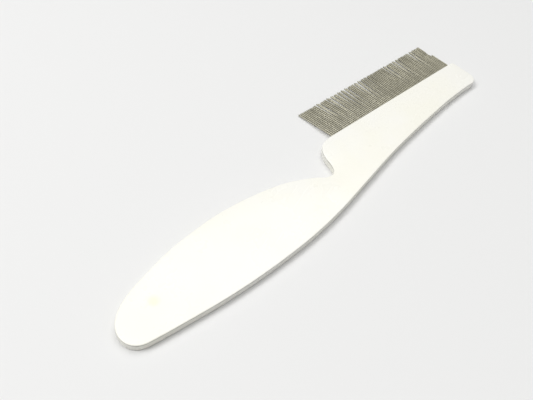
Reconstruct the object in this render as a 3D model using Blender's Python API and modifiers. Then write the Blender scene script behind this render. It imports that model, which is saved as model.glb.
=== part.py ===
"""Fine-tooth pet comb: wire hairpin teeth set in the edge of a flat moulded handle.

The comb lies flat on its underside.  +X runs from the butt of the grip to the head,
+Y from the back of the handle to the tooth tips, +Z is up.  The origin is under the
middle of the comb's bounding box.  The outline below is laid out in millimetres from
the head corner of the comb edge, and shifted to the origin when the pieces are made.
"""
import math

import bpy
import bmesh

MM = 0.001

# --- handle ---------------------------------------------------------------------------
HANDLE_THICKNESS = 3.2
EDGE_RADIUS = 0.6
EDGE_SEGMENTS = 3
EDGE_MIN_ANGLE = 60.0    # edges sharper than this, in degrees, are rounded
SHARP_ANGLE = 35.0       # edges sharper than this, in degrees, are shaded sharp
BUTT_X = -174.0          # rounded end of the grip
HEAD_X = 3.8             # square end, beyond the last tooth
FRONT_CORNER_RADIUS = 1.5
FRONT_CORNER_STEPS = 4
BACK_CORNER_RADIUS = 4.0
BACK_CORNER_STEPS = 5
BACK_Y = -13.35          # back of the head, where it meets its end corner
BELLY_Y = -28.82         # lowest point of the grip's belly
OUTLINE_STEPS = 4        # outline points per span between two guide points
WELD_DISTANCE = 0.005    # closer points than this are one point

# Guide points of the outline, from the head corner along the back to the butt.
BACK_EDGE = [
    (-8.0, -13.42), (-20.0, -14.25), (-36.0, -16.1), (-56.0, -18.95), (-76.0, -22.9),
    (-92.0, -26.1), (-108.0, -28.12), (-126.0, BELLY_Y), (-142.0, -28.42), (-157.0, -27.1),
]
BUTT = [
    (-165.5, -26.15), (-170.3, -25.3), (-173.0, -23.2), (BUTT_X, -20.0), (-173.2, -16.3),
    (-170.2, -12.8), (-164.6, -9.7),
]
# Back along the grip's upper edge, down into the finger notch and up over the guard.
GRIP_EDGE = [
    (-156.0, -7.0), (-145.2, -4.5), (-135.0, -3.3), (-126.0, -2.8), (-116.0, -3.3),
    (-107.0, -4.6), (-99.3, -6.3), (-93.6, -8.5),
]
FINGER_NOTCH = [
    (-88.8, -11.0), (-85.8, -13.1), (-83.1, -13.5), (-81.2, -12.0), (-80.2, -9.6),
]
FINGER_GUARD = [
    (-79.6, -6.9), (-78.3, -3.9), (-76.2, -1.6), (-73.4, -0.4), (-70.0, 0.0),
]
COMB_EDGE_GUIDE = (-67.0, 0.0)    # makes the guard run smoothly into the straight comb edge

# --- wire teeth -----------------------------------------------------------------------
HAIRPIN_COUNT = 40       # each hairpin makes two teeth
TEETH_START_X = -68.3
TEETH_END_X = 2.1
WIRE_DIAMETER = 0.58
TOOTH_LENGTH = 16.9      # from the comb edge to the tips
TIP_DROOP = 1.15         # how far the tips lie below the middle of the handle
TIP_FAN = 1.2            # how far the outermost tips lean outwards
BROKEN_TOOTH_LENGTH = 9.4    # stub of the outermost tooth at the head end
WIRE_EMBED = 8.6         # from the comb edge to the middle of the hairpin's bend
ROOT_Y = 0.4             # where a wire leaves the handle's level and starts to droop
BEND_STEPS = 5
WIRE_SIDES_SETTING = 1   # curve bevel resolution
TIP_ROUNDING = ((0.0, 0.5), (0.12, 0.86), (0.4, 1.0))    # distance from the tip, scale

# --- slot that holds the hairpins ------------------------------------------------------
CLEARANCE = 0.3
SLOT_OVERRUN = 2.0       # how far the slot cutter stands out of the comb edge

CENTRE_X = (BUTT_X + HEAD_X) / 2
CENTRE_Y = (BELLY_Y + TOOTH_LENGTH) / 2
WIRE_LEVEL = HANDLE_THICKNESS / 2


def placed(x, y, z):
    """Turn a layout point in millimetres into metres about the origin."""
    return ((x - CENTRE_X) * MM, (y - CENTRE_Y) * MM, z * MM)


def make_material(name, colour, roughness, metallic):
    """Plain Principled material for one kind of sub-part."""
    material = bpy.data.materials.new(name)
    material.use_nodes = True
    shader = material.node_tree.nodes["Principled BSDF"]
    shader.inputs["Base Color"].default_value = (*colour, 1.0)
    shader.inputs["Roughness"].default_value = roughness
    shader.inputs["Metallic"].default_value = metallic
    return material


def smooth_run(guides, steps):
    """Points of a Catmull-Rom curve through the guides; its two ends only set direction."""
    points = []
    for before, start, end, after in zip(guides, guides[1:], guides[2:], guides[3:]):
        for step in range(steps):
            t = step / steps
            points.append(tuple(
                0.5 * (2 * b + (c - a) * t + (2 * a - 5 * b + 4 * c - d) * t ** 2
                       + (3 * b - a - 3 * c + d) * t ** 3)
                for a, b, c, d in zip(before, start, end, after)))
    return points


def arc(centre, radius, start_deg, end_deg, steps):
    """Points along a circular arc, ends included."""
    angles = [math.radians(start_deg + (end_deg - start_deg) * i / steps) for i in range(steps + 1)]
    return [(centre[0] + radius * math.cos(a), centre[1] + radius * math.sin(a)) for a in angles]


def handle_outline():
    """Closed outline of the handle, clockwise from the head end of the comb edge."""
    front = arc((HEAD_X - FRONT_CORNER_RADIUS, -FRONT_CORNER_RADIUS), FRONT_CORNER_RADIUS,
                90, 0, FRONT_CORNER_STEPS)
    back = arc((HEAD_X - BACK_CORNER_RADIUS, BACK_Y + BACK_CORNER_RADIUS), BACK_CORNER_RADIUS,
               0, -90, BACK_CORNER_STEPS)
    before, start = back[-2], back[-1]
    guides = [before, start] + BACK_EDGE + BUTT + GRIP_EDGE + FINGER_NOTCH + FINGER_GUARD
    run = smooth_run(guides + [COMB_EDGE_GUIDE], OUTLINE_STEPS)
    return front + back[:-1] + run + [FINGER_GUARD[-1]]


def curve_to_mesh(curve_object, collection):
    """Replace a curve object by a mesh object of the same name with welded caps."""
    bpy.context.view_layer.update()
    evaluated = curve_object.evaluated_get(bpy.context.evaluated_depsgraph_get())
    mesh = bpy.data.meshes.new_from_object(evaluated)
    shell = bmesh.new()
    shell.from_mesh(mesh)
    bmesh.ops.remove_doubles(shell, verts=shell.verts, dist=WELD_DISTANCE * MM)
    bmesh.ops.recalc_face_normals(shell, faces=shell.faces)
    shell.to_mesh(mesh)
    shell.free()
    name = curve_object.name
    matrix = curve_object.matrix_world.copy()
    bpy.data.objects.remove(curve_object)
    mesh_object = bpy.data.objects.new(name, mesh)
    mesh_object.matrix_world = matrix
    collection.objects.link(mesh_object)
    return mesh_object


def make_slot_cutter(collection):
    """Box that opens the slot in the comb edge: the row of wires and its clearance."""
    margin = WIRE_DIAMETER / 2 + CLEARANCE
    half_pitch = tooth_pitch() / 2
    low_y = -(WIRE_EMBED + half_pitch + margin)
    width = TEETH_END_X - TEETH_START_X + 2 * margin
    depth = SLOT_OVERRUN - low_y
    middle = ((TEETH_START_X + TEETH_END_X) / 2, (SLOT_OVERRUN + low_y) / 2, WIRE_LEVEL)
    bpy.ops.mesh.primitive_cube_add(size=1.0, location=placed(*middle))
    cutter = bpy.context.object
    cutter.name = "slot_cutter"
    cutter.scale = (width * MM, depth * MM, 2 * margin * MM)
    for owner in list(cutter.users_collection):
        owner.objects.unlink(cutter)
    collection.objects.link(cutter)
    cutter.hide_render = True
    cutter.display_type = "WIRE"
    return cutter


def make_handle(collection, cutters, material):
    """Flat moulded handle with softened edges and the slot along its comb edge."""
    curve = bpy.data.curves.new("handle", "CURVE")
    curve.dimensions = "2D"
    curve.fill_mode = "BOTH"
    curve.extrude = HANDLE_THICKNESS / 2 * MM
    outline = handle_outline()
    spline = curve.splines.new("POLY")
    spline.points.add(len(outline) - 1)
    for point, (x, y) in zip(spline.points, outline):
        place = placed(x, y, 0.0)
        point.co = (place[0], place[1], 0.0, 1.0)
    spline.use_cyclic_u = True
    blank = bpy.data.objects.new("handle", curve)
    blank.location = (0.0, 0.0, HANDLE_THICKNESS / 2 * MM)
    collection.objects.link(blank)
    handle = curve_to_mesh(blank, collection)

    bevel = handle.modifiers.new("soft_edges", "BEVEL")
    bevel.width = EDGE_RADIUS * MM
    bevel.segments = EDGE_SEGMENTS
    bevel.limit_method = "ANGLE"
    bevel.angle_limit = math.radians(EDGE_MIN_ANGLE)

    slot = handle.modifiers.new("tooth_slot", "BOOLEAN")
    slot.operation = "DIFFERENCE"
    slot.solver = "EXACT"
    slot.object = make_slot_cutter(cutters)

    handle.data.materials.append(material)
    handle.data.shade_smooth()
    handle.data.set_sharp_from_angle(angle=math.radians(SHARP_ANGLE))
    return handle


def tooth_pitch():
    """Spacing of neighbouring wires at the comb edge."""
    return (TEETH_END_X - TEETH_START_X) / (2 * HAIRPIN_COUNT - 1)


def leg_points(x, length):
    """One straight leg from its tip to the comb edge, as (point, wire scale) pairs."""
    middle = (TEETH_START_X + TEETH_END_X) / 2
    lean = TIP_FAN * (x - middle) / (TEETH_END_X - middle) / TOOTH_LENGTH
    droop = TIP_DROOP / (TOOTH_LENGTH - ROOT_Y)
    points = []
    for back_from_tip, scale in TIP_ROUNDING:
        y = length - back_from_tip
        points.append((placed(x + lean * y, y, WIRE_LEVEL - droop * (y - ROOT_Y)), scale))
    points.append((placed(x + lean * ROOT_Y, ROOT_Y, WIRE_LEVEL), 1.0))
    return points


def make_hairpin(index, collection, material):
    """Steel wire bent back on itself: two teeth outside, the bend held in the slot."""
    pitch = tooth_pitch()
    left = TEETH_START_X + 2 * index * pitch
    right = left + pitch
    last = index == HAIRPIN_COUNT - 1
    right_length = BROKEN_TOOTH_LENGTH if last else TOOTH_LENGTH
    bend = [(placed(x, y, WIRE_LEVEL), 1.0)
            for x, y in arc((left + pitch / 2, -WIRE_EMBED), pitch / 2, 180, 360, BEND_STEPS)]
    path = leg_points(left, TOOTH_LENGTH) + bend + leg_points(right, right_length)[::-1]

    curve = bpy.data.curves.new("tooth_pair", "CURVE")
    curve.dimensions = "3D"
    curve.bevel_depth = WIRE_DIAMETER / 2 * MM
    curve.bevel_resolution = WIRE_SIDES_SETTING
    curve.use_fill_caps = True
    spline = curve.splines.new("POLY")
    spline.points.add(len(path) - 1)
    for point, (place, scale) in zip(spline.points, path):
        point.co = (*place, 1.0)
        point.radius = scale
    curve.materials.append(material)
    hairpin = bpy.data.objects.new(f"tooth_pair_{index + 1:02d}", curve)
    collection.objects.link(hairpin)
    return hairpin


def build():
    """Make the whole comb."""
    for leftover in list(bpy.data.objects):
        bpy.data.objects.remove(leftover)
    parts = bpy.data.collections.new("fine_tooth_comb")
    cutters = bpy.data.collections.new("cutters")
    bpy.context.scene.collection.children.link(parts)
    bpy.context.scene.collection.children.link(cutters)

    white_plastic = make_material("white_plastic", (0.86, 0.85, 0.80), 0.28, 0.0)
    steel_wire = make_material("steel_wire", (0.50, 0.48, 0.42), 0.38, 1.0)

    make_handle(parts, cutters, white_plastic)
    for index in range(HAIRPIN_COUNT):
        make_hairpin(index, parts, steel_wire)


build()
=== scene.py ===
"""Looks for a fine-tooth pet comb: a flat ivory-white handle with steel wire teeth.

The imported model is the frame: every place and size here is read from it, or is a small
detail of a piece given as a field of that piece's class.  Lengths are in millimetres in
the classes and become metres when a mesh is made.
"""

import logging
import math
import random
from dataclasses import dataclass, field
from enum import Enum
from typing import Any, Sequence

import bpy
import numpy as np
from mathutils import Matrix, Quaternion, Vector
from mathutils.geometry import delaunay_2d_cdt


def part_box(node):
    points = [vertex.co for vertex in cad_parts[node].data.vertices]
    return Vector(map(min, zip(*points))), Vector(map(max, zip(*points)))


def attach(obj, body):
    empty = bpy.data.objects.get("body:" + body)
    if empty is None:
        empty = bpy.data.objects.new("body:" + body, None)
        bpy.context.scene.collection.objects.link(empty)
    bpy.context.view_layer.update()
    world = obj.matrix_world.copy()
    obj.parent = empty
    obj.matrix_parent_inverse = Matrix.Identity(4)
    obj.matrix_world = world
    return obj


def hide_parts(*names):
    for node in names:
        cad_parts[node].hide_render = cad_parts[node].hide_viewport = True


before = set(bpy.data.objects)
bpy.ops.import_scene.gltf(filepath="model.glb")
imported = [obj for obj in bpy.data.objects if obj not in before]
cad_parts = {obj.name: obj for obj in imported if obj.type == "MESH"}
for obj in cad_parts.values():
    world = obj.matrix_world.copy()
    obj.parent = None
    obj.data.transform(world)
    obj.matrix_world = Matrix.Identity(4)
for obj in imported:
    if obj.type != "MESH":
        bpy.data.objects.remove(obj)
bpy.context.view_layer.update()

MM = 0.001
BODY = "root"
SAME_PLACE = 0.001                   # points or heights nearer than this count as one
CORNER_SHARE = 0.25                  # share of each side that one round of corner cutting takes
TRIANGLES_INSIDE = 1                 # the triangulation's mode that keeps what is in the loop
TRIANGULATION_WELD = 1e-6
GATE_PLACE = (-74.9, -10.2)          # middle of the moulding gate's mark, on the upper face
PARTING_HEIGHT = 2.56                # the mould's parting line, just under the upper edge
LOG = logging.getLogger("comb")

Colour = tuple[float, float, float]
Place = tuple[float, float, float]


class Slot(Enum):
    """Names of the material slots."""

    PLASTIC = "white_plastic"
    STEEL = "steel_wire"


# --- shader tools -----------------------------------------------------------------------

class NodeSheet:
    """Adds nodes to one node tree and links them."""

    # Numbers of a Mix node's colour sockets; their names are shared with its other kinds.
    MIX_FIRST, MIX_SECOND, MIX_RESULT = 6, 7, 2

    def __init__(self, tree: bpy.types.NodeTree) -> None:
        """Start on an empty sheet.

        Args:
            tree: the node tree to work on; nodes already in it are removed.
        """
        self.tree = tree
        tree.nodes.clear()

    def add(self, kind: str, inputs: dict[str | int, Any] | None = None,
            **settings: Any) -> bpy.types.Node:
        """Add one node.

        Args:
            kind: the node's type name, without its ShaderNode prefix.
            inputs: values or sockets for its inputs, by name or number.
            settings: values of the node's own properties.

        Returns:
            The new node.
        """
        node = self.tree.nodes.new("ShaderNode" + kind)
        for name, value in settings.items():
            setattr(node, name, value)
        for key, value in (inputs or {}).items():
            if isinstance(value, bpy.types.NodeSocket):
                self.tree.links.new(value, node.inputs[key])
            else:
                node.inputs[key].default_value = value
        return node

    def noise(self, vector: bpy.types.NodeSocket, scale: Any, detail: Any,
              roughness: float = 0.5) -> bpy.types.NodeSocket:
        """Add a noise texture.

        Args:
            vector: coordinates it works in.
            scale: how fine it is.
            detail: how many finer layers it has.
            roughness: how strong those are.

        Returns:
            Its value socket.
        """
        node = self.add("TexNoise", {"Vector": vector, "Scale": scale, "Detail": detail,
                                     "Roughness": roughness})
        return node.outputs["Fac"]

    def remap(self, value: bpy.types.NodeSocket, low: Any, high: Any, to_low: Any = 0.0,
              to_high: Any = 1.0) -> bpy.types.NodeSocket:
        """Add a smooth Map Range node.

        Args:
            value: what it maps.
            low: the value that gives to_low.
            high: the value that gives to_high.
            to_low: one end of the result.
            to_high: the other end.

        Returns:
            Its result socket.
        """
        node = self.add("MapRange", {"Value": value, "From Min": low, "From Max": high,
                                     "To Min": to_low, "To Max": to_high},
                        interpolation_type="SMOOTHSTEP")
        return node.outputs["Result"]

    def math(self, operation: str, first: Any, second: Any) -> bpy.types.NodeSocket:
        """Add a Math node and return its value socket."""
        return self.add("Math", {0: first, 1: second}, operation=operation).outputs["Value"]

    def mix(self, amount: bpy.types.NodeSocket, first: Any, second: Any) -> bpy.types.NodeSocket:
        """Mix two colours.

        Args:
            amount: 0 gives the first colour, 1 the second.
            first: a colour or a colour socket.
            second: the same.

        Returns:
            The colour socket.
        """
        node = self.add("Mix", {"Factor": amount}, data_type="RGBA")
        for key, value in ((self.MIX_FIRST, first), (self.MIX_SECOND, second)):
            if isinstance(value, bpy.types.NodeSocket):
                self.tree.links.new(value, node.inputs[key])
            else:
                node.inputs[key].default_value = (*value, 1.0)
        return node.outputs[self.MIX_RESULT]


class SharedEffects:
    """Shader node groups that several finishes use, each built once."""

    FINER = 4.3                      # how much finer the small patches are
    BROAD_SHARE = 0.7
    FINER_SHARE = 0.3

    def __init__(self) -> None:
        """Build the groups."""
        self.uneven = self._uneven_tone()
        self.lines = self._fine_lines()

    @staticmethod
    def _new_group(name: str, inputs: dict[str, float | None], outputs: Sequence[str]
                   ) -> tuple[NodeSheet, bpy.types.Node]:
        """Start a group.

        Args:
            name: the group's name.
            inputs: default value of each float input; None makes a vector input.
            outputs: names of its float outputs.

        Returns:
            The group's sheet and its input node.
        """
        tree = bpy.data.node_groups.new(name, "ShaderNodeTree")
        for label, value in inputs.items():
            kind = "NodeSocketVector" if value is None else "NodeSocketFloat"
            socket = tree.interface.new_socket(label, in_out="INPUT", socket_type=kind)
            if value is not None:
                socket.default_value = value
        for label in outputs:
            tree.interface.new_socket(label, in_out="OUTPUT", socket_type="NodeSocketFloat")
        sheet = NodeSheet(tree)
        entry = tree.nodes.new("NodeGroupInput")
        return sheet, entry

    @staticmethod
    def _close_group(sheet: NodeSheet, results: dict[str, bpy.types.NodeSocket]
                     ) -> bpy.types.NodeTree:
        """Link a group's results to its outputs.

        Args:
            sheet: the group's sheet.
            results: the socket that feeds each output, by name.

        Returns:
            The group's tree.
        """
        leave = sheet.tree.nodes.new("NodeGroupOutput")
        for label, socket in results.items():
            sheet.tree.links.new(socket, leave.inputs[label])
        return sheet.tree

    def _uneven_tone(self) -> bpy.types.NodeTree:
        """Broad soft patches, as of handling, ageing or uneven cooling.

        Returns:
            The group's tree.
        """
        sheet, entry = self._new_group(
            "uneven_tone", {"Vector": None, "Scale": 40.0, "Low": 0.4, "High": 0.7}, ["Patches"])
        broad = sheet.noise(entry.outputs["Vector"], entry.outputs["Scale"], 3.0)
        finer_scale = sheet.math("MULTIPLY", entry.outputs["Scale"], self.FINER)
        finer = sheet.noise(entry.outputs["Vector"], finer_scale, 2.0)
        both = sheet.math("ADD", sheet.math("MULTIPLY", broad, self.BROAD_SHARE),
                          sheet.math("MULTIPLY", finer, self.FINER_SHARE))
        patches = sheet.remap(both, entry.outputs["Low"], entry.outputs["High"])
        return self._close_group(sheet, {"Patches": patches})

    def _fine_lines(self) -> bpy.types.NodeTree:
        """Fine lines along one direction, as of drawing, wiping or scuffing.

        Returns:
            The group's tree.
        """
        sheet, entry = self._new_group(
            "fine_lines", {"Vector": None, "Along": 30.0, "Across": 2500.0, "Turn": 0.0,
                           "Low": 0.5, "High": 0.75}, ["Lines"])
        turned = sheet.add("VectorRotate", {"Vector": entry.outputs["Vector"],
                                            "Angle": entry.outputs["Turn"]},
                           rotation_type="Z_AXIS").outputs["Vector"]
        stretch = sheet.add("CombineXYZ", {"X": entry.outputs["Across"],
                                           "Y": entry.outputs["Along"],
                                           "Z": entry.outputs["Across"]}).outputs["Vector"]
        drawn = sheet.add("VectorMath", {0: turned, 1: stretch},
                          operation="MULTIPLY").outputs["Vector"]
        streaks = sheet.noise(drawn, 1.0, 3.0)
        lines = sheet.remap(streaks, entry.outputs["Low"], entry.outputs["High"])
        return self._close_group(sheet, {"Lines": lines})


def place_group(sheet: NodeSheet, tree: bpy.types.NodeTree, vector: bpy.types.NodeSocket,
                **values: float) -> bpy.types.NodeSocket:
    """Place a shared effect in a material.

    Args:
        sheet: the material's sheet.
        tree: the group.
        vector: coordinates it works in.
        values: its other inputs.

    Returns:
        The group's first output.
    """
    node = sheet.tree.nodes.new("ShaderNodeGroup")
    node.node_tree = tree
    sheet.tree.links.new(vector, node.inputs["Vector"])
    for name, value in values.items():
        node.inputs[name].default_value = value
    return node.outputs[0]


@dataclass(frozen=True)
class WhitePlastic:
    """Glossy ivory-white moulded plastic, a little yellowed at the gate and scuffed by use, with
    painted shade along the parting line under the upper edge.
    """

    light: Colour = (0.87, 0.862, 0.81)
    warm: Colour = (0.87, 0.858, 0.775)
    gate: Colour = (0.86, 0.84, 0.67)
    gloss_roughness: float = 0.27
    smudged_roughness: float = 0.37
    gate_radius: float = 2.6
    gate_core: float = 0.2           # share of the radius where the stain is full
    # Painted shade: a dark band of colour along the parting line, just under the upper edge.
    painted_shade_colour: Colour = (0.36, 0.35, 0.29)
    painted_shade_amount: float = 0.85
    painted_shade_half_height: float = 0.36
    scuff_dulling: float = 0.8
    peel_scale: float = 650.0        # the moulded skin's faint orange peel
    peel_relief: float = 0.2
    scuff_relief: float = 0.3
    wipe_relief: float = 0.15

    def build(self, effects: SharedEffects) -> bpy.types.Material:
        """Make the material.

        Args:
            effects: the shared shader groups.

        Returns:
            The material.
        """
        material = bpy.data.materials.new("ivory_plastic")
        material.use_nodes = True
        sheet = NodeSheet(material.node_tree)
        spot = sheet.add("TexCoord").outputs["Object"]

        patches = place_group(sheet, effects.uneven, spot, Scale=28.0, Low=0.38, High=0.66)
        smudges = place_group(sheet, effects.uneven, spot, Scale=80.0, Low=0.38, High=0.80)
        scuffs = place_group(sheet, effects.lines, spot, Along=45.0, Across=1600.0, Turn=1.25,
                             Low=0.60, High=0.78)
        wipes = place_group(sheet, effects.lines, spot, Along=25.0, Across=900.0, Turn=-0.5,
                            Low=0.55, High=0.8)

        gate = (GATE_PLACE[0] * MM, GATE_PLACE[1] * MM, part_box("handle")[1].z)
        away = sheet.add("VectorMath", {0: spot, 1: gate}, operation="DISTANCE").outputs["Value"]
        stain = sheet.remap(away, self.gate_radius * MM,
                            self.gate_core * self.gate_radius * MM)

        colour = sheet.mix(patches, self.light, self.warm)
        colour = sheet.mix(stain, colour, self.gate)
        # Painted shade: darken the colour in a band round the parting line, just under the upper
        # edge.
        height = sheet.add("SeparateXYZ", {"Vector": spot}).outputs["Z"]
        off_line = sheet.math("ABSOLUTE", sheet.math("SUBTRACT", height, PARTING_HEIGHT * MM), 0.0)
        painted_shade = sheet.remap(off_line, self.painted_shade_half_height * MM, 0.0, 0.0, self.painted_shade_amount)
        colour = sheet.mix(painted_shade, colour, self.painted_shade_colour)

        dulled = sheet.math("MULTIPLY", scuffs, self.scuff_dulling)
        marks = sheet.math("MAXIMUM", smudges, dulled)
        roughness = sheet.remap(marks, 0.0, 1.0, self.gloss_roughness, self.smudged_roughness)

        orange_peel = sheet.noise(spot, self.peel_scale, 2.0)
        grooves = sheet.math("ADD", sheet.math("MULTIPLY", scuffs, self.scuff_relief),
                             sheet.math("MULTIPLY", wipes, self.wipe_relief))
        skin = sheet.math("MULTIPLY", orange_peel, self.peel_relief)
        relief = sheet.math("SUBTRACT", skin, grooves)
        bump = sheet.add("Bump", {"Height": relief, "Strength": 0.2, "Distance": 0.01 * MM})

        shader = sheet.add("BsdfPrincipled", {
            "Base Color": colour, "Roughness": roughness, "Normal": bump.outputs["Normal"],
            "IOR": 1.49, "Coat Weight": 0.15, "Coat Roughness": 0.12})
        sheet.add("OutputMaterial", {"Surface": shader.outputs["BSDF"]})
        return material


@dataclass(frozen=True)
class SteelWire:
    """Drawn steel wire, satin and slightly dulled, with drawing lines along each tooth."""

    bright: Colour = (0.44, 0.422, 0.335)
    dull: Colour = (0.35, 0.335, 0.265)
    polished_roughness: float = 0.50
    dulled_roughness: float = 0.64
    dulling_share: float = 0.5       # of the patches and the tooth-by-tooth tone together
    drawn_share: float = 0.6

    def build(self, effects: SharedEffects) -> bpy.types.Material:
        """Make the material.

        Args:
            effects: the shared shader groups.

        Returns:
            The material.
        """
        material = bpy.data.materials.new("satin_steel_wire")
        material.use_nodes = True
        sheet = NodeSheet(material.node_tree)
        spot = sheet.add("TexCoord").outputs["Object"]

        patches = place_group(sheet, effects.uneven, spot, Scale=160.0, Low=0.36, High=0.66)
        drawn = place_group(sheet, effects.lines, spot, Along=60.0, Across=9000.0, Turn=0.0,
                            Low=0.40, High=0.68)
        tooth_by_tooth = place_group(sheet, effects.lines, spot, Along=8.0, Across=620.0,
                                     Turn=0.0, Low=0.35, High=0.65)

        dulling = sheet.math("MULTIPLY", sheet.math("ADD", patches, tooth_by_tooth),
                             self.dulling_share)
        colour = sheet.mix(dulling, self.bright, self.dull)
        marks = sheet.math("MAXIMUM", dulling, sheet.math("MULTIPLY", drawn, self.drawn_share))
        roughness = sheet.remap(marks, 0.0, 1.0, self.polished_roughness, self.dulled_roughness)
        bump = sheet.add("Bump", {"Height": drawn, "Strength": 0.2, "Distance": 0.005 * MM})

        shader = sheet.add("BsdfPrincipled", {
            "Base Color": colour, "Metallic": 1.0, "Roughness": roughness,
            "Normal": bump.outputs["Normal"]})
        sheet.add("OutputMaterial", {"Surface": shader.outputs["BSDF"]})
        return material


@dataclass(frozen=True)
class PaleTable:
    """Plain pale matt surface that the comb lies on."""

    colour: Colour = (0.75, 0.75, 0.745)
    roughness: float = 0.85

    def build(self) -> bpy.types.Material:
        """Make the material.

        Returns:
            The material.
        """
        material = bpy.data.materials.new("pale_table")
        material.use_nodes = True
        sheet = NodeSheet(material.node_tree)
        shader = sheet.add("BsdfPrincipled", {
            "Base Color": (*self.colour, 1.0), "Roughness": self.roughness})
        sheet.add("OutputMaterial", {"Surface": shader.outputs["BSDF"]})
        return material


# --- mesh tools -------------------------------------------------------------------------

def smooth_step(low: float, high: float, value: np.ndarray) -> np.ndarray:
    """Go smoothly from 0 to 1.

    Args:
        low: the result is 0 up to here.
        high: and 1 from here on.
        value: where to work it out.

    Returns:
        The result at each value.
    """
    t = np.clip((value - low) / (high - low), 0.0, 1.0)
    return t * t * (3 - 2 * t)


def make_piece(name: str, points: np.ndarray, faces: list[tuple[int, ...]],
               material: bpy.types.Material, replaced: str) -> bpy.types.Object:
    """Make a smooth-shaded piece that stands for one CAD node.

    Args:
        name: the piece's name.
        points: its vertices, in millimetres.
        faces: its faces, as vertex numbers.
        material: its finish.
        replaced: the CAD node it stands for.

    Returns:
        The piece, riding on the comb's one body.
    """
    mesh = bpy.data.meshes.new(name)
    mesh.from_pydata((points * MM).tolist(), [], faces)
    mesh.validate()
    mesh.shade_smooth()
    mesh.materials.append(material)
    piece = bpy.data.objects.new(name, mesh)
    bpy.context.scene.collection.objects.link(piece)
    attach(piece, BODY)
    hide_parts(replaced)
    return piece


def node_points(node: str) -> np.ndarray:
    """The vertices of a CAD node, in millimetres."""
    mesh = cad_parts[node].data
    return np.array([vertex.co for vertex in mesh.vertices], float) / MM


# --- the handle -------------------------------------------------------------------------

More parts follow.
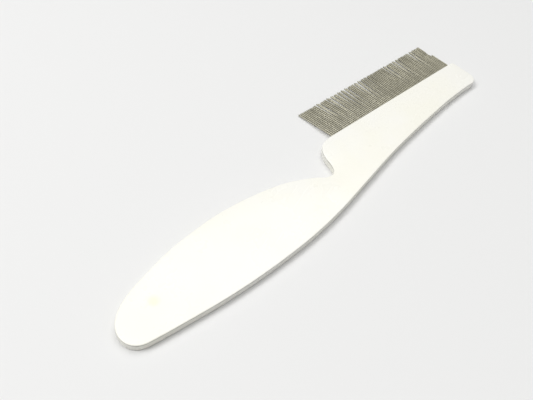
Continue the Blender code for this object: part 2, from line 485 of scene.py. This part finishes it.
@dataclass
class Handle:
    """The moulded handle: one flat piece with rounded edges and a crowned upper face."""

    finish: bpy.types.Material
    teeth: "ToothRow"
    node: str = "handle"
    name: str = "handle_moulding"
    spacing: float = 0.42            # between neighbouring points of the outline
    corner_cuts: int = 3             # rounds of corner cutting that smooth the outline
    upper_round: tuple[float, float] = (0.32, 0.34)   # width and height of the edge's rounding
    lower_round: tuple[float, float] = (0.45, 0.50)
    edge_power: float = 2.2          # 2 is a full ellipse, more is squarer
    edge_steps: tuple[float, ...] = (0.2, 0.4, 0.58, 0.72, 0.83, 0.91, 0.96, 0.99, 1.0)
    parting_half_height: float = 0.18
    parting_depth: float = 0.16
    parting_steps: tuple[float, ...] = (-1.0, -0.5, 0.0, 0.5, 1.0)
    parting_step: float = 0.06       # the lower part is this much smaller all round
    crown_width: float = 9.0         # how far in from the outline the upper face levels off
    crown_drop: float = 0.20         # how much lower the upper face is at its edge
    grid: float = 1.5                # between the points of the flat faces
    groove_half_height: float = 0.43
    groove_lip: float = 0.20         # height over which the groove's lips are rounded
    lip_steps: tuple[float, ...] = (0.0, 0.35, 0.7, 1.0)
    groove_depth: float = 0.45
    groove_run_out: float = 0.5      # length over which the groove ends
    comb_edge_facing: float = 0.9    # how squarely a wall faces outwards where it is comb edge
    comb_edge_band: float = 0.5      # and how near it is to the furthest point
    gate_depth: float = 0.07
    gate_radius: float = 1.9
    gate_core: float = 0.35          # share of the radius that is the gate mark's flat floor
    gate_rings: tuple[float, ...] = (0.3, 0.55, 0.8, 1.05)    # rings of points, in radii
    gate_ring_points: int = 18
    outline: np.ndarray = field(init=False)
    normals: np.ndarray = field(init=False)
    thickness: float = field(init=False)

    def __post_init__(self) -> None:
        """Read the outline and the thickness from the frame."""
        low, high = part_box(self.node)
        self.thickness = (high.z - low.z) / MM
        self.outline = self._spaced(self._rounded(self._frame_outline()))
        ahead = np.roll(self.outline, -1, axis=0) - np.roll(self.outline, 1, axis=0)
        ahead /= np.linalg.norm(ahead, axis=1)[:, None]
        self.normals = np.column_stack([ahead[:, 1], -ahead[:, 0]])

    def _frame_outline(self) -> np.ndarray:
        """Walk round the foot of the CAD handle's side wall.

        Returns:
            Its points, counter-clockwise.
        """
        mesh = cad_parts[self.node].data
        points = node_points(self.node).round(4)
        end = points[points[:, 0] < points[:, 0].min() + SAME_PLACE]
        level = end[:, 2].min()
        keys = [tuple(point[:2]) if abs(point[2] - level) < SAME_PLACE else None
                for point in points]
        beside: dict[tuple, set] = {}
        for edge in mesh.edges:
            one, other = (keys[index] for index in edge.vertices)
            if one and other and one != other:
                beside.setdefault(one, set()).add(other)
                beside.setdefault(other, set()).add(one)
        start = min(beside)
        path = [start, min(beside[start])]
        while len(path) < len(beside):
            path += [key for key in beside[path[-1]] if key != path[-2]][:1]
        loop = np.array(path)
        after = np.roll(loop, -1, axis=0)
        area = (loop[:, 0] * after[:, 1] - loop[:, 1] * after[:, 0]).sum()
        return loop if area > 0 else loop[::-1]

    def _rounded(self, loop: np.ndarray) -> np.ndarray:
        """Cut a loop's corners until it is smooth; it never grows past its corners.

        Args:
            loop: the loop's points.

        Returns:
            The smooth loop's points.
        """
        near, far = 1 - CORNER_SHARE, CORNER_SHARE
        for _ in range(self.corner_cuts):
            after = np.roll(loop, -1, axis=0)
            loop = np.stack([near * loop + far * after, far * loop + near * after],
                            axis=1).reshape(-1, 2)
        return loop

    def _spaced(self, loop: np.ndarray) -> np.ndarray:
        """Space a loop's points evenly.

        Args:
            loop: the loop's points.

        Returns:
            New points on the same loop.
        """
        closed = np.vstack([loop, loop[:1]])
        run = np.concatenate([[0.0], np.cumsum(np.linalg.norm(np.diff(closed, axis=0), axis=1))])
        stops = np.linspace(0.0, run[-1], round(run[-1] / self.spacing), endpoint=False)
        return np.column_stack([np.interp(stops, run, closed[:, axis]) for axis in (0, 1)])

    def _edge_heights(self) -> list[float]:
        """Choose the heights of the loops of points round the edge.

        Returns:
            Heights above the underside, lowest first.
        """
        middle, lip = self.thickness / 2, self.groove_half_height + self.groove_lip
        heights = {self.lower_round[1] * (1 - step) for step in self.edge_steps}
        heights |= {self.thickness - self.upper_round[1] * (1 - step) for step in self.edge_steps}
        heights |= {middle + side * (lip - self.groove_lip * share)
                    for side in (-1, 1) for share in self.lip_steps}
        heights |= {PARTING_HEIGHT + share * self.parting_half_height
                    for share in self.parting_steps}
        ordered = sorted(heights)
        return [ordered[0]] + [height for before, height in zip(ordered, ordered[1:])
                               if height - before > SAME_PLACE]

    def _inset_at(self, height: float) -> float:
        """How far in the rounded edge is.

        Args:
            height: above the underside.

        Returns:
            Distance in from the outline.
        """
        below = max(0.0, 1 - height / self.lower_round[1])
        above = max(0.0, 1 - (self.thickness - height) / self.upper_round[1])
        return sum(width * (1 - (1 - share ** self.edge_power) ** (1 / self.edge_power))
                   for (width, _), share in ((self.lower_round, below), (self.upper_round, above)))

    def _parting(self, height: float) -> float:
        """Depth of the parting line, and of the step below it.

        Args:
            height: above the underside.

        Returns:
            Depth in from the wall.
        """
        share = max(0.0, 1 - abs(height - PARTING_HEIGHT) / self.parting_half_height)
        step = self.parting_step if height < PARTING_HEIGHT else 0.0
        return max(self.parting_depth * share, step)

    def _distance(self, points: np.ndarray) -> np.ndarray:
        """Distance of each point from the outline."""
        gaps = points[:, None, :] - self.outline[None, :, :]
        return np.sqrt((gaps ** 2).sum(axis=2).min(axis=1))

    def _crown(self, depth: np.ndarray) -> np.ndarray:
        """How far the upper face is below level, at a distance in from the outline."""
        share = np.clip(1 - depth / self.crown_width, 0.0, 1.0)
        return self.crown_drop * share ** 2

    def _dimple(self, points: np.ndarray) -> np.ndarray:
        """Depth of the shallow gate mark.

        Args:
            points: places on the upper face.

        Returns:
            Depth at each of them.
        """
        away = np.linalg.norm(points - np.array(GATE_PLACE), axis=1)
        return self.gate_depth * (1 - smooth_step(self.gate_core * self.gate_radius,
                                                  self.gate_radius, away))

    def _groove(self, height: float) -> np.ndarray:
        """Depth of the groove the teeth stand in.

        Args:
            height: above the underside.

        Returns:
            Depth in from the wall at each outline point.
        """
        along = self.outline[:, 0]
        margin = self.teeth.wire_radius + self.groove_run_out
        start, end = self.teeth.root_span()
        on_edge = (self.normals[:, 1] > self.comb_edge_facing) & (
            self.outline[:, 1] > self.outline[:, 1].max() - self.comb_edge_band)
        run = smooth_step(start - margin, start - self.teeth.wire_radius, along)
        run *= 1 - smooth_step(end + self.teeth.wire_radius, end + margin, along)
        lip = 1 - smooth_step(self.groove_half_height, self.groove_half_height + self.groove_lip,
                              np.array(abs(height - self.thickness / 2)))
        return self.groove_depth * run * on_edge * lip

    def _ring(self, height: float) -> np.ndarray:
        """Lay one loop of points round the edge.

        Args:
            height: above the underside.

        Returns:
            The loop's points.
        """
        inset = self._inset_at(height)
        depth = inset + self._parting(height) + self._groove(height)
        flat = self.outline - self.normals * depth[:, None]
        sunk = self._crown(np.array(inset)) * max(0.0, 2 * height / self.thickness - 1)
        return np.column_stack([flat, np.full(len(flat), height - sunk)])

    def _face_points(self, rim: np.ndarray, inset: float) -> np.ndarray:
        """Scatter points for a flat face: an even grid, and rings round the gate mark.

        Args:
            rim: the loop of points round the face.
            inset: the loop's distance in from the outline.

        Returns:
            The points, some of which may lie outside the loop.
        """
        low, high = rim.min(axis=0), rim.max(axis=0)
        row_step = self.grid * math.sqrt(3) / 2
        rows = np.arange(low[1], high[1], row_step)
        grid = np.array([(x + (index % 2) * self.grid / 2, y) for index, y in enumerate(rows)
                         for x in np.arange(low[0], high[0], self.grid)])
        centre = np.array(GATE_PLACE)
        clear = np.linalg.norm(grid - centre, axis=1) > self.gate_radius + self.grid / 2
        grid = grid[clear & (self._distance(grid) > inset + self.grid / 2)]
        rings = [centre[None, :]]
        turns = np.linspace(0, 2 * math.pi, self.gate_ring_points, endpoint=False)
        for share in self.gate_rings:
            rings.append(centre + share * self.gate_radius
                         * np.column_stack([np.cos(turns), np.sin(turns)]))
        return np.vstack([grid, *rings])

    def _face(self, rim: np.ndarray, inset: float, upper: bool, first: int
              ) -> tuple[np.ndarray, list[tuple[int, ...]]]:
        """Fill the upper face or the underside.

        Args:
            rim: the loop of points round it.
            inset: the loop's distance in from the outline.
            upper: True for the upper face, which is crowned and has the gate mark.
            first: number that the first point inside the loop gets.

        Returns:
            The points inside the loop, and triangles with the loop's own points numbered
            from 0 and the others from first.
        """
        inner = self._face_points(rim[:, :2], inset)
        flat = np.vstack([rim[:, :2], inner])
        found = delaunay_2d_cdt([Vector(point) for point in flat], [],
                                [tuple(range(len(rim)))], TRIANGLES_INSIDE,
                                TRIANGULATION_WELD)
        triangles, places = found[2], [originals[0] for originals in found[3]]
        used = sorted({places[index] for triangle in triangles for index in triangle}
                      - set(range(len(rim))))
        inner = inner[np.array(used) - len(rim)]
        numbers = {place: first + order for order, place in enumerate(used)}
        z = np.zeros(len(inner))
        if upper:
            depth = np.maximum(self._distance(inner), inset)
            z = self.thickness - self._crown(depth) - self._dimple(inner)
        faces = [tuple(numbers.get(places[index], places[index]) for index in triangle)
                 for triangle in triangles]
        return np.column_stack([inner, z]), faces

    def build(self) -> bpy.types.Object:
        """Make the handle.

        Returns:
            The handle piece.
        """
        count = len(self.outline)
        heights = self._edge_heights()
        rings = [self._ring(height) for height in heights]
        faces: list[tuple[int, ...]] = []
        for ring in range(len(rings) - 1):
            for index in range(count):
                after = (index + 1) % count
                a, b = ring * count, (ring + 1) * count
                faces.append((a + index, a + after, b + after, b + index))
        points = [*rings]
        total = len(rings) * count
        top = (len(rings) - 1) * count
        for upper in (False, True):
            ring = rings[-1] if upper else rings[0]
            inside, triangles = self._face(ring, self._inset_at(heights[-1 if upper else 0]),
                                           upper, total)
            points.append(inside)
            total += len(inside)
            for triangle in triangles:
                if upper:
                    faces.append(tuple(top + index if index < count else index
                                       for index in triangle))
                else:
                    faces.append(tuple(reversed(triangle)))
        return make_piece(self.name, np.vstack(points), faces, self.finish,
                          self.node)


# --- the teeth --------------------------------------------------------------------------

@dataclass
class Hairpin:
    """One wire bent back on itself: two teeth outside the handle, its bend inside."""

    name: str
    node: str
    legs: list[np.ndarray]           # left and right leg, each from its tip to the comb edge
    bend: np.ndarray                 # from the left leg round to the right leg
    wire_radius: float
    sides: int = 12
    tip_point: float = 0.02          # how far a tip's last point stands out
    # Distance from the tip and share of the wire's radius there.
    tip_shape: tuple[tuple[float, float], ...] = (
        (0.0, 0.30), (0.04, 0.55), (0.10, 0.78), (0.19, 0.93), (0.32, 1.0))

    def _with_tip(self, leg: np.ndarray) -> tuple[np.ndarray, list[float]]:
        """Put the rounded end on a leg.

        Args:
            leg: the leg's points, from its tip.

        Returns:
            The points with the end's own points put in, and the radius at each.
        """
        along = (leg[1] - leg[0]) / np.linalg.norm(leg[1] - leg[0])
        end = [leg[0] + along * distance for distance, _ in self.tip_shape]
        radii = [self.wire_radius * share for _, share in self.tip_shape]
        rest = leg[1:]
        return np.vstack([end, rest]), radii + [self.wire_radius] * len(rest)

    def build(self, finish: bpy.types.Material) -> bpy.types.Object:
        """Sweep the wire along its path.

        Args:
            finish: the steel finish.

        Returns:
            The wire piece.
        """
        left, left_radii = self._with_tip(self.legs[0])
        right, right_radii = self._with_tip(self.legs[1])
        path = np.vstack([left, self.bend, right[::-1]])
        radii = np.array(left_radii + [self.wire_radius] * len(self.bend) + right_radii[::-1])
        ahead = np.gradient(path, axis=0)
        ahead /= np.linalg.norm(ahead, axis=1)[:, None]
        side = np.cross(ahead, (0.0, 0.0, 1.0))
        side /= np.linalg.norm(side, axis=1)[:, None]
        upward = np.cross(side, ahead)
        turns = np.linspace(0, 2 * math.pi, self.sides, endpoint=False)
        round_it = (np.cos(turns)[None, :, None] * side[:, None, :]
                    + np.sin(turns)[None, :, None] * upward[:, None, :])
        skin = (path[:, None, :] + round_it * radii[:, None, None]).reshape(-1, 3)
        poles = [path[0] - ahead[0] * self.tip_point, path[-1] + ahead[-1] * self.tip_point]
        points = np.vstack([skin, poles])
        faces: list[tuple[int, ...]] = []
        for row in range(len(path) - 1):
            for index in range(self.sides):
                after = (index + 1) % self.sides
                a, b = row * self.sides, (row + 1) * self.sides
                faces.append((a + index, b + index, b + after, a + after))
        first, last = len(skin), len(skin) + 1
        end = (len(path) - 1) * self.sides
        for index in range(self.sides):
            after = (index + 1) % self.sides
            faces.append((first, index, after))
            faces.append((last, end + after, end + index))
        return make_piece(self.name, points, faces, finish, self.node)


@dataclass
class ToothRow:
    """The row of wire teeth, two to each hairpin."""

    finish: bpy.types.Material
    node_name: str = "tooth_pair_{:02d}"
    piece_name: str = "wire_hairpin_{:02d}"
    pairs: int = 40
    wire_radius: float = 0.29
    root_out: float = 0.4            # a tooth starts to droop this far outside the handle
    fan: float = 1.2                 # outward lean of the outermost tips
    stub_length: float = 9.4         # the broken last tooth
    stray: float = 0.05              # how far a tip may wander, either way
    least_short: float = 0.03        # how much shorter than the CAD's a tooth is, at least
    most_short: float = 0.22         # and at most
    shift_power: float = 1.8         # above 1, a pushed tooth bends mostly near its tip
    lift_power: float = 1.5          # the same for one bent up or down
    bend_reach: float = 0.3          # a hairpin's innermost stretch, taken as its bend
    leg_steps: int = 24
    bend_steps: int = 10
    seed: int = 7
    # Extra room at the tips after a pair, where teeth have been pushed apart in use.
    openings: dict[int, float] = field(default_factory=lambda: {
        6: 0.66, 9: 0.55, 10: 0.34, 12: 0.62, 13: 0.26, 14: 0.58, 17: 0.45, 18: 0.58, 20: 0.24,
        27: 0.56, 30: 0.52, 31: 0.30, 35: 0.26, 36: 0.48})
    # How far the teeth before and after an opening are bent up, against its width.
    lifts: tuple[float, float] = (0.6, -1.0)
    # How far the teeth beside the broken one are bent away from it, from the next one on.
    dents: tuple[float, ...] = (0.42, 0.30, 0.18, 0.08)
    dent_place: float = 10.8         # how far out of the handle
    dent_length: float = 1.1

    def __post_init__(self) -> None:
        """Read the row's places from the frame."""
        low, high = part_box(self.node_name.format(1))
        handle_low, handle_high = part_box("handle")
        self.edge_y = handle_high.y / MM
        self.level = (handle_low.z + handle_high.z) / 2 / MM
        self.length = high.y / MM - self.edge_y
        self.tip_level = low.z / MM + self.wire_radius
        self.first = self._bend_x(1)
        self.pitch = (self._bend_x(self.pairs) - self.first) / (2 * (self.pairs - 1))
        self.bend_y = low.y / MM + self.wire_radius + self.pitch / 2

    def _bend_x(self, pair: int) -> float:
        """Middle of a hairpin's hidden bend, along the row."""
        points = node_points(self.node_name.format(pair))
        return float(points[points[:, 1] < points[:, 1].min() + self.bend_reach][:, 0].mean())

    def root_span(self) -> tuple[float, float]:
        """Places of the first and last tooth along the row."""
        start = self.first - self.pitch / 2
        return start, start + self.pitch * (2 * self.pairs - 1)

    def _tip_shift(self, pair: int) -> float:
        """How far a pair's tips are pushed along the row by all the openings.

        Args:
            pair: its number, from 1.

        Returns:
            The distance; the openings' whole width is taken up evenly by the row.
        """
        opened = sum(room for after, room in self.openings.items() if after < pair)
        closed = sum(self.openings.values()) * (pair - 0.5) / self.pairs
        return opened - closed

    def _leg(self, tooth: int, shift: float, length: float, lift: float) -> np.ndarray:
        """Points of one tooth from its tip to the comb edge.

        Args:
            tooth: its number, from 0.
            shift: how far its tip wanders along the row.
            length: from the comb edge to its tip.
            lift: how far its tip is bent up, or down if negative, though not into the table.

        Returns:
            Points in millimetres.
        """
        start, end = self.root_span()
        root_x, middle = start + self.pitch * tooth, (start + end) / 2
        beside = 2 * self.pairs - 2 - tooth
        dent = self.dents[beside] if 0 <= beside < len(self.dents) else 0.0
        lean = self.fan * (root_x - middle) / (end - middle)
        out = np.linspace(length, self.root_out, self.leg_steps)
        share = (out - self.root_out) / (self.length - self.root_out)
        x = root_x + lean * share + shift * share ** self.shift_power
        x -= dent * np.exp(-((out - self.dent_place) / self.dent_length) ** 2)
        z = self.level + (self.tip_level - self.level) * share + lift * share ** self.lift_power
        z = np.maximum(z, self.wire_radius)
        return np.column_stack([x, self.edge_y + out, z])

    def _hairpin(self, pair: int, chance: random.Random) -> Hairpin:
        """Lay out one hairpin.

        Args:
            pair: its number, from 1.
            chance: the row's random numbers.

        Returns:
            The hairpin, not yet built.
        """
        middle = self.first + 2 * self.pitch * (pair - 1)
        legs = []
        for side in (0, 1):
            shift = self._tip_shift(pair) + chance.uniform(-self.stray, self.stray)
            length = self.length - chance.uniform(self.least_short, self.most_short)
            if pair == self.pairs and side == 1:
                length = self.stub_length
            beside = pair if side else pair - 1
            lift = self.lifts[1 - side] * self.openings.get(beside, 0.0)
            legs.append(self._leg(2 * pair - 2 + side, shift, length, lift))
        turns = np.linspace(math.pi, 2 * math.pi, self.bend_steps)
        bend = np.column_stack([middle + self.pitch / 2 * np.cos(turns),
                                self.bend_y + self.pitch / 2 * np.sin(turns),
                                np.full(len(turns), self.level)])
        return Hairpin(self.piece_name.format(pair), self.node_name.format(pair), legs, bend,
                       self.wire_radius)

    def build(self) -> list[bpy.types.Object]:
        """Make every hairpin.

        Returns:
            The wire pieces, from the grip end of the row.
        """
        chance = random.Random(self.seed)
        return [self._hairpin(pair, chance).build(self.finish)
                for pair in range(1, self.pairs + 1)]


# --- the studio -------------------------------------------------------------------------

@dataclass(frozen=True)
class Softbox:
    """One square studio lamp that faces the comb."""

    name: str
    place: Place                     # metres from the comb
    size: float                      # metres
    watts: float
    colour: Colour = (1.0, 1.0, 1.0)

    def build(self) -> None:
        """Hang the lamp."""
        lamp = bpy.data.lights.new(self.name, "AREA")
        lamp.shape = "SQUARE"
        lamp.size = self.size
        lamp.energy = self.watts
        lamp.color = self.colour
        holder = bpy.data.objects.new(self.name, lamp)
        holder.location = self.place
        holder.rotation_mode = "QUATERNION"
        holder.rotation_quaternion = (-Vector(self.place)).to_track_quat("-Z", "Y")
        bpy.context.scene.collection.objects.link(holder)


@dataclass
class Studio:
    """Plain pale table, soft lamps and a dim even surround."""

    table_half_width: float = 0.6    # metres
    table_drop: float = 0.01         # millimetres below the comb's underside
    surround: float = 0.16
    backdrop: float = 0.92
    glow: Colour = (1.0, 1.0, 0.985)
    lamps: tuple[Softbox, ...] = (
        Softbox("window", (-0.75, 0.48, 1.10), 0.50, 9.4),
        Softbox("ceiling", (0.15, 0.25, 1.60), 1.80, 21.0),
        Softbox("fill", (0.45, -0.75, 0.65), 0.80, 1.7),
    )

    def _table(self) -> None:
        """Lay the table under the comb."""
        half, z = self.table_half_width, -self.table_drop * MM
        mesh = bpy.data.meshes.new("table")
        corners = [(-half, -half, z), (half, -half, z), (half, half, z), (-half, half, z)]
        mesh.from_pydata(corners, [], [(0, 1, 2, 3)])
        mesh.materials.append(PaleTable().build())
        table = bpy.data.objects.new("table", mesh)
        bpy.context.scene.collection.objects.link(table)

    def _surround(self) -> None:
        """Even dim light from all round, with a pale backdrop where it is seen directly."""
        world = bpy.data.worlds.new("surround")
        world.use_nodes = True
        sheet = NodeSheet(world.node_tree)
        seen = sheet.add("LightPath").outputs["Is Camera Ray"]
        strength = sheet.remap(seen, 0.0, 1.0, self.surround, self.backdrop)
        glow = sheet.add("Background", {"Color": (*self.glow, 1.0), "Strength": strength})
        sheet.add("OutputWorld", {"Surface": glow.outputs["Background"]})
        bpy.context.scene.world = world

    def build(self) -> None:
        """Set up the studio."""
        self._table()
        self._surround()
        for lamp in self.lamps:
            lamp.build()


@dataclass(frozen=True)
class Camera:
    """The camera, above the belly of the grip and looking towards the head."""

    place: Place = (-129.58, -92.64, 164.32)
    aim: Place = (-22.14, -0.40, 0.0)
    roll_degrees: float = 9.01
    lens: float = 44.09
    sensor: float = 36.0
    nearest: float = 10.0            # nothing nearer than this is drawn

    def build(self) -> None:
        """Make it the scene's camera."""
        data = bpy.data.cameras.new("camera")
        data.lens = self.lens
        data.sensor_width = self.sensor
        data.clip_start = self.nearest * MM
        camera = bpy.data.objects.new("camera", data)
        ahead = Vector(self.aim) - Vector(self.place)
        camera.location = Vector(self.place) * MM
        camera.rotation_mode = "QUATERNION"
        camera.rotation_quaternion = (ahead.to_track_quat("-Z", "Y")
                                      @ Quaternion((0, 0, 1), math.radians(self.roll_degrees)))
        bpy.context.scene.collection.objects.link(camera)
        bpy.context.scene.camera = camera


def main() -> None:
    """Build the comb, its finishes and the studio."""
    logging.basicConfig(level=logging.INFO, format="%(name)s: %(message)s")
    effects = SharedEffects()
    teeth = ToothRow(SteelWire().build(effects))
    handle = Handle(WhitePlastic().build(effects), teeth)
    for piece in [handle.build(), *teeth.build()]:
        LOG.info("%s: %d vertices", piece.name, len(piece.data.vertices))
    Studio().build()
    Camera().build()
    bpy.context.scene.view_settings.view_transform = "Standard"


if __name__ == "__main__":
    main()
